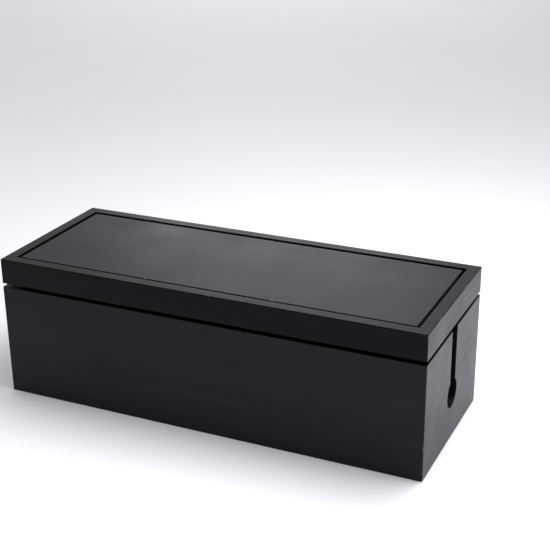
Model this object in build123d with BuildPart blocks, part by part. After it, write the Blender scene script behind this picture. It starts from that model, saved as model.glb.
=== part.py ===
from build123d import *
import os

# Cable management box with a lift-off lid.
#
# A long lacquered box that hides a power strip and its plugs. Each end wall has a keyhole,
# open at the rim, so that a lead drops in with its plug on. The lid stands on locating
# strips inside the walls, which leave a shadow gap between the walls and the lid.
#
# Frame: +X along the length, +Y to the back, +Z up, in millimetres. The origin is on the
# surface that the box stands on, under the middle of the box.

# Driving dimensions
length = 380.0  # outside, along X
width = 145.0  # outside, along Y
height = 125.0  # from the surface to the top of the lid
corner_radius = 0.8  # eased vertical corners
arris_radius = 0.25  # eased long edges of the boards

# Walls
wall_thickness = 10.4
wall_base = 0.3  # the feet hold the walls this far off the surface
rim_height = 99.6
groove_depth = 4.0  # of the grooves that hold the bottom and the backing board
groove_play = 0.2  # left at the foot of a groove

# Keyhole in each end wall
hole_diameter = 25.0
hole_height = 42.0
slot_width = 13.5

# Bottom and feet
bottom_thickness = 5.0
foot_height = 4.0
foot_diameter = 12.0
foot_inset = 12.0  # from the inner faces of the walls to a foot's centre
foot_edge_radius = 0.8

# Locating strips inside the walls
strip_thickness = 5.0
strip_base = 82.0
strip_top = 113.0
strip_lead_in = 1.2  # bevel that guides the lid down
strip_keyhole_margin = 2.0  # from the hole's side to the end of a strip

# Lid
shadow_gap = 3.2  # between the walls' rim and the rails
rail_thickness = 9.8
rail_top_radius = 0.7  # eased outer edge round the top of the lid
backing_thickness = 4.0
panel_groove = 3.0  # shadow groove between the rails and the panel
panel_recess = 0.6  # the panel lies this far below the rails
panel_arris_radius = 0.3

# Derived sizes
rail_base = rim_height + shadow_gap
panel_base = strip_top + backing_thickness
inner_length = length - 2 * wall_thickness
inner_width = width - 2 * wall_thickness
lid_inner_length = length - 2 * rail_thickness
lid_inner_width = width - 2 * rail_thickness
bottom_base = foot_height

# The side that each board stands on, as the way that its outer face looks
sides = {
    "front": Vector(0, -1, 0),
    "right": Vector(1, 0, 0),
    "back": Vector(0, 1, 0),
    "left": Vector(-1, 0, 0),
}


def save(part, name):
    """Label a finished piece and write it as its own node."""
    part.label = name
    export_step(part, f"parts/{name}.step")


def board_planes(outward):
    """The planes that cut one board out of a ring: the middle of the box and two mitres."""
    planes = [Plane(origin=(0, 0, 0), z_dir=outward)]
    for end in (-1, 1):
        along = Vector(-outward.Y, outward.X, 0) * end
        corner = (
            (outward.X + along.X) * length / 2,
            (outward.Y + along.Y) * width / 2,
            0,
        )
        planes.append(Plane(origin=corner, z_dir=outward - along))
    return planes


def board_ring(base, top, top_radius, thickness, groove_base, groove_width):
    """Four boards round the box as one ring, grooved for a panel, with eased outer edges."""
    hollow_length = length - 2 * thickness
    hollow_width = width - 2 * thickness
    with BuildPart() as ring:
        with BuildSketch(Plane.XY.offset(base)):
            RectangleRounded(length, width, corner_radius)
            Rectangle(hollow_length, hollow_width, mode=Mode.SUBTRACT)
        extrude(amount=top - base)
        fillet(ring.faces().sort_by(Axis.Z)[-1].outer_wire().edges(), top_radius)
        fillet(ring.faces().sort_by(Axis.Z)[0].outer_wire().edges(), arris_radius)

        with BuildSketch(Plane.XY.offset(groove_base)):
            Rectangle(hollow_length + 2 * groove_depth, hollow_width + 2 * groove_depth)
        extrude(amount=groove_width, mode=Mode.SUBTRACT)
    return ring.part


def mitred_board(ring, outward):
    """The board of a ring on the side that outward looks to, with its mitred ends."""
    with BuildPart() as board:
        add(ring)
        for plane in board_planes(outward):
            split(bisect_by=plane, keep=Keep.TOP)
    return board.part


os.makedirs("parts", exist_ok=True)


# ---------------------------------------------------------------- Walls

with BuildPart() as wall_ring:
    add(
        board_ring(
            wall_base, rim_height, arris_radius, wall_thickness, bottom_base, bottom_thickness
        )
    )

    # The keyholes go through both end walls along X
    with BuildSketch(Plane.YZ):
        with Locations((0, hole_height)):
            Circle(hole_diameter / 2)
            Rectangle(
                slot_width,
                rim_height - hole_height,
                align=(Align.CENTER, Align.MIN),
            )
    extrude(amount=length, both=True, mode=Mode.SUBTRACT)

    # Ease the keyholes' edges on the outer faces
    for face in (wall_ring.faces().sort_by(Axis.X)[0], wall_ring.faces().sort_by(Axis.X)[-1]):
        keyhole_edges = face.edges().filter_by(
            lambda edge: abs(edge.center().Y) <= hole_diameter / 2
            and wall_base + corner_radius < edge.center().Z < rim_height - corner_radius
        )
        fillet(keyhole_edges, arris_radius)

for side, outward in sides.items():
    name = f"{side}_wall" if side in ("front", "back") else f"{side}_end_wall"
    save(mitred_board(wall_ring.part, outward), name)


# ---------------------------------------------------------------- Bottom

with BuildPart() as bottom_panel:
    with BuildSketch(Plane.XY.offset(bottom_base)):
        Rectangle(
            inner_length + 2 * (groove_depth - groove_play),
            inner_width + 2 * (groove_depth - groove_play),
        )
    extrude(amount=bottom_thickness)
save(bottom_panel.part, "bottom_panel")


# ---------------------------------------------------------------- Feet

foot_x = inner_length / 2 - foot_inset
foot_y = inner_width / 2 - foot_inset
foot_places = {
    "foot_front_left": (-foot_x, -foot_y),
    "foot_front_right": (foot_x, -foot_y),
    "foot_back_left": (-foot_x, foot_y),
    "foot_back_right": (foot_x, foot_y),
}
for name, place in foot_places.items():
    with BuildPart() as foot:
        with BuildSketch():
            with Locations(place):
                Circle(foot_diameter / 2)
        extrude(amount=foot_height)
        fillet(foot.faces().sort_by(Axis.Z)[0].edges(), foot_edge_radius)
    save(foot.part, name)


# ---------------------------------------------------------------- Locating strips

# Long strips on the front and back walls
for side in ("front", "back"):
    facing = sides[side].Y
    with BuildPart() as long_strip:
        with BuildSketch(Plane.XY.offset(strip_base)):
            with Locations((0, facing * (inner_width - strip_thickness) / 2)):
                Rectangle(inner_length, strip_thickness)
        extrude(amount=strip_top - strip_base)
        outer_top_edge = long_strip.edges().filter_by(Axis.X).sort_by(
            lambda edge: edge.center().Z + facing * edge.center().Y
        )[-1]
        chamfer(outer_top_edge, strip_lead_in)
    save(long_strip.part, f"locating_strip_{side}")

# Short strips on the end walls, one each side of the keyhole
short_strip_start = hole_diameter / 2 + strip_keyhole_margin
short_strip_length = inner_width / 2 - strip_thickness - short_strip_start
for end_side in ("left", "right"):
    for side in ("front", "back"):
        facing = sides[end_side].X
        with BuildPart() as short_strip:
            with BuildSketch(Plane.XY.offset(strip_base)):
                with Locations(
                    (
                        facing * (inner_length - strip_thickness) / 2,
                        sides[side].Y * (short_strip_start + short_strip_length / 2),
                    )
                ):
                    Rectangle(strip_thickness, short_strip_length)
            extrude(amount=strip_top - strip_base)
            outer_top_edge = short_strip.edges().filter_by(Axis.Y).sort_by(
                lambda edge: edge.center().Z + facing * edge.center().X
            )[-1]
            chamfer(outer_top_edge, strip_lead_in)
        save(short_strip.part, f"locating_strip_{end_side}_{side}")


# ---------------------------------------------------------------- Lid

with BuildPart() as rail_ring:
    add(
        board_ring(
            rail_base, height, rail_top_radius, rail_thickness, strip_top, backing_thickness
        )
    )

    # Ease the rails' edge along the shadow groove
    top_face = rail_ring.faces().sort_by(Axis.Z)[-1]
    fillet(top_face.inner_wires()[0].edges(), panel_arris_radius)

for side, outward in sides.items():
    save(mitred_board(rail_ring.part, outward), f"lid_{side}_rail")

with BuildPart() as lid_backing_board:
    with BuildSketch(Plane.XY.offset(strip_top)):
        Rectangle(
            lid_inner_length + 2 * (groove_depth - groove_play),
            lid_inner_width + 2 * (groove_depth - groove_play),
        )
    extrude(amount=backing_thickness)
save(lid_backing_board.part, "lid_backing_board")

with BuildPart() as lid_panel:
    with BuildSketch(Plane.XY.offset(panel_base)):
        Rectangle(lid_inner_length - 2 * panel_groove, lid_inner_width - 2 * panel_groove)
    extrude(amount=height - panel_recess - panel_base)
    fillet(lid_panel.faces().sort_by(Axis.Z)[-1].edges(), panel_arris_radius)
save(lid_panel.part, "lid_panel")
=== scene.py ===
import math

import bpy
from mathutils import Euler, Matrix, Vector


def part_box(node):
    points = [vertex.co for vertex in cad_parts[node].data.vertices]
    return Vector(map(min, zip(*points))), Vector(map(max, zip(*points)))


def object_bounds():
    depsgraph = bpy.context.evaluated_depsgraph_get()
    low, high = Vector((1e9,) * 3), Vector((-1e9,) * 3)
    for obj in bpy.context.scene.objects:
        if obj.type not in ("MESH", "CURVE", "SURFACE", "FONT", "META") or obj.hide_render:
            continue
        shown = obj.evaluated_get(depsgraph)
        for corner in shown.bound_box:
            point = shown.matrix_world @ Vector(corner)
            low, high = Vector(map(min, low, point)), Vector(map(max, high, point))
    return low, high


# A black lacquered cable box with a lift-off lid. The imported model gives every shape; this script
# gives each piece its finish, and sets the floor, the lights and the camera.

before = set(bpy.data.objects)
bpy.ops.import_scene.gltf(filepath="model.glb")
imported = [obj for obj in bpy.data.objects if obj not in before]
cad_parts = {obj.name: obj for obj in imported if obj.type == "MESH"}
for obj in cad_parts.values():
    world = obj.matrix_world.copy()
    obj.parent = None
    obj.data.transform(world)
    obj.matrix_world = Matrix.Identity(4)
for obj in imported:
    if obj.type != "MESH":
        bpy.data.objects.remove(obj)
cad_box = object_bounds()

MM = 0.001
LOW, HIGH = cad_box
SIZE = HIGH - LOW

# Grain, as the scale of its noise along a board and across it
STREAKS = (9, 560)
BANDS = (2.2, 60)
PORES = (75, 1500)
FIBRES = (12, 700)

# Each lacquer's darkest and palest grey, and its shine: how much it reflects face on. The rails'
# darker grey and lower shine are painted shade on the lid
LACQUER_TONES_AND_LID_SHADE = {
    "wall": (0.0030, 0.0070, 1.0),
    # Painted shade: the rails are a darker, duller copy of the wall lacquer, so the lid's front
    # looks more shaded
    "rail": (0.0010, 0.0030, 0.6),
    "panel": (0.0030, 0.0070, 1.0),
}
LACQUER_IOR = 1.30
LACQUER_TINT = (0.80, 0.76, 0.93)
LACQUER_BLUE = 1.25
LACQUER_ROUGHNESS = (0.32, 0.39)
HAZE_ROUGHNESS = (-0.04, 0.05)
LACQUER_BUMP = 0.4

# Rubbed flecks on the edges
RUBBED_GREY = 0.085
RUBBED_BLUE = 1.05
RUBBED_REACH = 1.4 * MM

# The rim on top of the walls, painted darker as shade in the gap under the lid and made duller, and
# how far below their top it starts and is complete
RIM_SHADE_GREY = 0.0015
RIM_ROUGHER = 0.05
RIM_START = 0.15 * MM
RIM_FULL = 0.05 * MM

# Stained boards and rubber feet
BOARD_DARKEST = 0.018
BOARD_PALEST = 0.045
BOARD_BLUE = 1.1
BOARD_IOR = 1.4
BOARD_ROUGHNESS = (0.62, 0.80)
RUBBER_DARKEST = 0.014
RUBBER_PALEST = 0.040
RUBBER_ROUGHNESS = (0.7, 0.85)
MATT_BUMP = 0.6

# Floor and surroundings
FLOOR_REACH = 30 * SIZE.x
FLOOR_DARKEST = 0.86
FLOOR_PALEST = 0.88
FLOOR_ROUGHNESS = 0.7
LIGHT_COLOUR = (0.95, 0.95, 1.0)
FRONT_GLOW = 0.04
BACK_GLOW = 0.42
OVERHEAD_GLOW = 0.7

# Camera
LENS_MM = 78.1
SENSOR_MM = 36.0
EYE = (0.4170, -0.8327, 0.4986)
TARGET = (0.0341, 0.0, 0.1194)
ROLL_DEGREES = 0.55

# The Mix node's colour sockets, by number, because its other sockets share their names
MIX_FIRST, MIX_SECOND, MIX_RESULT = 6, 7, 2


# ---------------------------------------------------------------- Node helpers

class Nodes:
    """A material or a world, with short ways to add its nodes."""

    def __init__(self, owner, shader):
        owner.use_nodes = True
        self.owner = owner
        self.tree = owner.node_tree
        self.shader = self.tree.nodes[shader]

    def add(self, kind, inputs=None, **settings):
        """Add a node, set its options, and set or link its inputs."""
        node = self.tree.nodes.new(kind)
        for key, value in settings.items():
            setattr(node, key, value)
        for key, value in (inputs or {}).items():
            self.put(node.inputs[key], value)
        return node

    def put(self, socket, value):
        """Link a node output to a socket, or give the socket a plain value."""
        if isinstance(value, bpy.types.NodeSocket):
            self.tree.links.new(value, socket)
        else:
            socket.default_value = value

    def finish(self, **inputs):
        """Set the shader's inputs by name, with _ for a space, and return the owner."""
        for key, value in inputs.items():
            self.put(self.shader.inputs[key.replace("_", " ")], value)
        return self.owner

    def place(self):
        """The place on the piece, in its own coordinates."""
        return self.add("ShaderNodeTexCoord").outputs["Object"]

    def axes(self, vector):
        """The X, Y and Z of a vector, each as an output of its own."""
        return self.add("ShaderNodeSeparateXYZ", {"Vector": vector}).outputs

    def noise(self, vector, scale, detail=2.0, roughness=0.5, distortion=0.0):
        """Smooth noise between 0 and 1."""
        node = self.add(
            "ShaderNodeTexNoise",
            {
                "Vector": vector,
                "Scale": scale,
                "Detail": detail,
                "Roughness": roughness,
                "Distortion": distortion,
            },
        )
        return node.outputs["Fac"]

    def grain(self, vector, along, scales, **settings):
        """Noise drawn out along one axis. Scales are the one along it and the one across it."""
        scale_along, scale_across = scales
        scale = [scale_across] * 3
        scale["XYZ".index(along)] = scale_along
        node = self.add("ShaderNodeMapping", {"Vector": vector, "Scale": scale})
        return self.noise(node.outputs["Vector"], 1.0, **settings)

    def remap(self, value, low, high, to_low=0.0, to_high=1.0):
        """Map a range of values to another, held at its ends."""
        node = self.add(
            "ShaderNodeMapRange",
            {"Value": value, "From Min": low, "From Max": high, "To Min": to_low, "To Max": to_high},
        )
        return node.outputs["Result"]

    def contrast(self, first, second):
        """Two noises as one, spread over 0 to 1."""
        return self.remap(self.math("MULTIPLY", first, second), 0.12, 0.40)

    def math(self, operation, first, second):
        """One sum on two values."""
        node = self.add("ShaderNodeMath", operation=operation)
        self.put(node.inputs[0], first)
        self.put(node.inputs[1], second)
        return node.outputs[0]

    def blend(self, factor, first, second):
        """The first colour where factor is 0, the second where it is 1."""
        node = self.add("ShaderNodeMix", data_type="RGBA")
        self.put(node.inputs["Factor"], factor)
        self.put(node.inputs[MIX_FIRST], first)
        self.put(node.inputs[MIX_SECOND], second)
        return node.outputs[MIX_RESULT]

    def bump(self, height, distance, strength, normal=None):
        """A bumped normal from a height field, on top of another where one is given."""
        inputs = {"Height": height, "Distance": distance, "Strength": strength}
        if normal is not None:
            inputs["Normal"] = normal
        return self.add("ShaderNodeBump", inputs).outputs["Normal"]


def new_material(name):
    """A new material, ready for its nodes."""
    return Nodes(bpy.data.materials.new(name), "Principled BSDF")


def grey(value, blue=1.0):
    """An opaque grey, a little bluer where blue is over 1."""
    return (value, value, value * blue, 1.0)


# ---------------------------------------------------------------- Materials

def edge_closeness(made, place, low, high, reach):
    """1 at the outer edges of a box from low to high, falling to 0 at reach from them."""
    axes = made.axes(place)
    depths = []
    for index, axis in enumerate("XYZ"):
        from_low = made.math("SUBTRACT", axes[axis], low[index])
        from_high = made.math("SUBTRACT", high[index], axes[axis])
        depths.append(made.math("MINIMUM", from_low, from_high))

    # An edge is near where two faces are, so the second nearest face decides
    nearer = made.math("MINIMUM", depths[0], depths[1])
    farther = made.math("MAXIMUM", depths[0], depths[1])
    second = made.math("MAXIMUM", nearer, made.math("MINIMUM", farther, depths[2]))
    return made.remap(second, 0.2 * reach, reach, 1.0, 0.0)


def lacquered_wood(name, along, low, high, lacquer, shaded_matt_rim):
    """Satin black lacquer over close-grained wood, with the grain along one axis. The finish is
    rubbed a little at the outer edges of the box from low to high. With a shaded matt rim, the
    face at the top of that box is painted darker, as shade in the gap under the lid, and is duller."""
    darkest, palest, shine = lacquer
    made = new_material(name)
    place = made.place()

    # Long fine streaks, broader bands, and short pores, all along the grain
    streaks = made.grain(place, along, STREAKS, detail=5, roughness=0.6)
    bands = made.grain(place, along, BANDS, detail=3, distortion=0.6)
    pores = made.grain(place, along, PORES, detail=2)
    pore_depth = made.remap(pores, 0.30, 0.42)

    # The lacquer's own unevenness, from a fine peel to a broad haze
    peel = made.noise(place, 380, detail=2)
    haze = made.noise(place, 16, detail=4)

    # Here and there a lighter fleck, where an edge has been rubbed
    edge = edge_closeness(made, place, low, high, RUBBED_REACH)
    flecks = made.remap(made.noise(place, 75, detail=4, roughness=0.7), 0.63, 0.70)
    rubbed = made.math("MULTIPLY", edge, flecks)

    tone = made.contrast(streaks, bands)
    colour = made.blend(tone, grey(darkest, LACQUER_BLUE), grey(palest, LACQUER_BLUE))
    colour = made.blend(rubbed, colour, grey(RUBBED_GREY, RUBBED_BLUE))
    roughness = made.math(
        "ADD",
        made.remap(streaks, 0.3, 0.7, *LACQUER_ROUGHNESS),
        made.remap(haze, 0.3, 0.7, *HAZE_ROUGHNESS),
    )
    # Painted shade: the walls' top face, in the gap under the lid, is made darker as well as rougher
    if shaded_matt_rim:
        rim = made.remap(made.axes(place)["Z"], high.z - RIM_START, high.z - RIM_FULL)
        colour = made.blend(rim, colour, grey(RIM_SHADE_GREY))
        roughness = made.math("ADD", roughness, made.math("MULTIPLY", rim, RIM_ROUGHER))
    relief = made.bump(streaks, 0.02 * MM, LACQUER_BUMP)
    relief = made.bump(pore_depth, 0.03 * MM, LACQUER_BUMP, relief)
    relief = made.bump(peel, 0.02 * MM, LACQUER_BUMP, relief)
    return made.finish(
        Base_Color=colour,
        Roughness=roughness,
        Normal=relief,
        IOR=LACQUER_IOR,
        Specular_Tint=(*(channel * shine for channel in LACQUER_TINT), 1.0),
    )


def stained_board(name, along):
    """Matt black stained board, as used where the box isn't seen."""
    made = new_material(name)
    place = made.place()
    fibres = made.grain(place, along, FIBRES, detail=5, roughness=0.7)
    blotches = made.noise(place, 30, detail=3)
    tone = made.contrast(fibres, blotches)
    return made.finish(
        Base_Color=made.blend(tone, grey(BOARD_DARKEST, BOARD_BLUE), grey(BOARD_PALEST, BOARD_BLUE)),
        Roughness=made.remap(fibres, 0.3, 0.7, *BOARD_ROUGHNESS),
        Normal=made.bump(fibres, 0.08 * MM, MATT_BUMP),
        IOR=BOARD_IOR,
    )


def foot_rubber():
    """Matt moulded rubber."""
    made = new_material("foot_rubber")
    place = made.place()
    grain = made.noise(place, 2200, detail=3)
    dust = made.remap(made.noise(place, 160, detail=4), 0.4, 0.8)
    return made.finish(
        Base_Color=made.blend(dust, grey(RUBBER_DARKEST), grey(RUBBER_PALEST)),
        Roughness=made.remap(grain, 0.3, 0.7, *RUBBER_ROUGHNESS),
        Normal=made.bump(grain, 0.05 * MM, MATT_BUMP),
    )


def group_box(names):
    """The lowest and highest corners of several CAD nodes together."""
    boxes = [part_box(name) for name in names]
    low = Vector(min(box[0][axis] for box in boxes) for axis in range(3))
    high = Vector(max(box[1][axis] for box in boxes) for axis in range(3))
    return low, high


def grain_axis(name):
    """The axis along which a board is longest in plan."""
    low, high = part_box(name)
    return "X" if high.x - low.x > high.y - low.y else "Y"


def paint(piece, material):
    """Give a piece one material all over."""
    piece.data.materials.clear()
    piece.data.materials.append(material)


def finish_pieces():
    """Give every CAD node its finish, with the grain along its board."""
    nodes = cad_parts
    groups = {
        "wall": [name for name in nodes if name.endswith("_wall")],
        "rail": [name for name in nodes if name.endswith("_rail")],
        "panel": ["lid_panel"],
    }
    finishes = {}
    for group, names in groups.items():
        low, high = group_box(names)
        for name in names:
            along = grain_axis(name)
            key = f"{group}_lacquer_{along}"
            if key not in finishes:
                finishes[key] = lacquered_wood(
                    key, along, low, high, LACQUER_TONES_AND_LID_SHADE[group], shaded_matt_rim=group == "wall"
                )
            paint(nodes[name], finishes[key])

    boards = {axis: stained_board(f"black_board_{axis}", axis) for axis in "XY"}
    rubber = foot_rubber()
    for name, piece in nodes.items():
        if name.startswith("foot_"):
            paint(piece, rubber)
        elif name.startswith("locating_strip") or name in ("bottom_panel", "lid_backing_board"):
            paint(piece, boards[grain_axis(name)])


# ---------------------------------------------------------------- Floor and lights

def make_floor():
    """A wide pale floor that the box stands on."""
    mesh = bpy.data.meshes.new("floor")
    signs = [(-1, -1), (1, -1), (1, 1), (-1, 1)]
    corners = [(x * FLOOR_REACH, y * FLOOR_REACH, LOW.z) for x, y in signs]
    mesh.from_pydata(corners, [], [(0, 1, 2, 3)])
    floor = bpy.data.objects.new("floor", mesh)
    bpy.context.collection.objects.link(floor)
    made = new_material("pale_floor")
    tone = made.remap(made.noise(made.place(), 3, detail=3), 0.3, 0.7)
    colour = made.blend(tone, grey(FLOOR_DARKEST), grey(FLOOR_PALEST))
    mesh.materials.append(made.finish(Base_Color=colour, Roughness=FLOOR_ROUGHNESS))


def make_surroundings():
    """Pale surroundings, brightest overhead, bright behind the box, and dim in front of it."""
    world = bpy.data.worlds.new("studio")
    made = Nodes(world, "Background")
    direction = made.add("ShaderNodeTexCoord").outputs["Generated"]
    axes = made.axes(direction)
    level = made.remap(axes["Y"], -1.0, 1.0, FRONT_GLOW, BACK_GLOW)
    overhead = made.remap(axes["Z"], 0.0, 1.0, 0.0, OVERHEAD_GLOW)
    made.finish(Color=(*LIGHT_COLOUR, 1.0), Strength=made.math("ADD", level, overhead))
    bpy.context.scene.world = world


def soft_light(name, azimuth, elevation, distance, width, height, power):
    """A soft rectangular light that looks at the box's middle, in degrees, metres and watts.
    Azimuth 0 is in front of the box, and 90 is at its right. It doesn't show in a render."""
    angle = math.radians(azimuth)
    lift = math.radians(elevation)
    away = Vector((
        math.sin(angle) * math.cos(lift),
        -math.cos(angle) * math.cos(lift),
        math.sin(lift),
    ))
    data = bpy.data.lights.new(name, "AREA")
    data.shape = "RECTANGLE"
    data.size = width
    data.size_y = height
    data.energy = power
    data.color = LIGHT_COLOUR
    lamp = bpy.data.objects.new(name, data)
    bpy.context.collection.objects.link(lamp)
    lamp.location = (LOW + HIGH) / 2 + away * distance
    lamp.rotation_euler = (-away).to_track_quat("-Z", "Y").to_euler()
    lamp.visible_camera = False


def make_lights():
    """A soft light high over the right end, and a low one far behind that the lid mirrors."""
    soft_light(
        "key_light",
        azimuth=116,
        elevation=67,
        distance=0.65,
        width=0.5,
        height=0.4,
        power=6,
    )
    soft_light(
        "back_light",
        azimuth=203.5,
        elevation=16,
        distance=2.6,
        width=0.9,
        height=0.6,
        power=3.6,
    )


# ---------------------------------------------------------------- Camera

def make_camera():
    """The camera, above the box and to the right of its front, turned a little about its view."""
    data = bpy.data.cameras.new("camera")
    data.lens = LENS_MM
    data.sensor_width = SENSOR_MM
    camera = bpy.data.objects.new("camera", data)
    bpy.context.collection.objects.link(camera)
    eye = Vector(EYE)
    look = (Vector(TARGET) - eye).to_track_quat("-Z", "Y")
    roll = Euler((0, 0, -math.radians(ROLL_DEGREES))).to_quaternion()
    camera.location = eye
    camera.rotation_euler = (look @ roll).to_euler()
    bpy.context.scene.camera = camera


make_camera()
finish_pieces()
make_floor()
make_surroundings()
make_lights()
bpy.context.scene.view_settings.view_transform = "Standard"
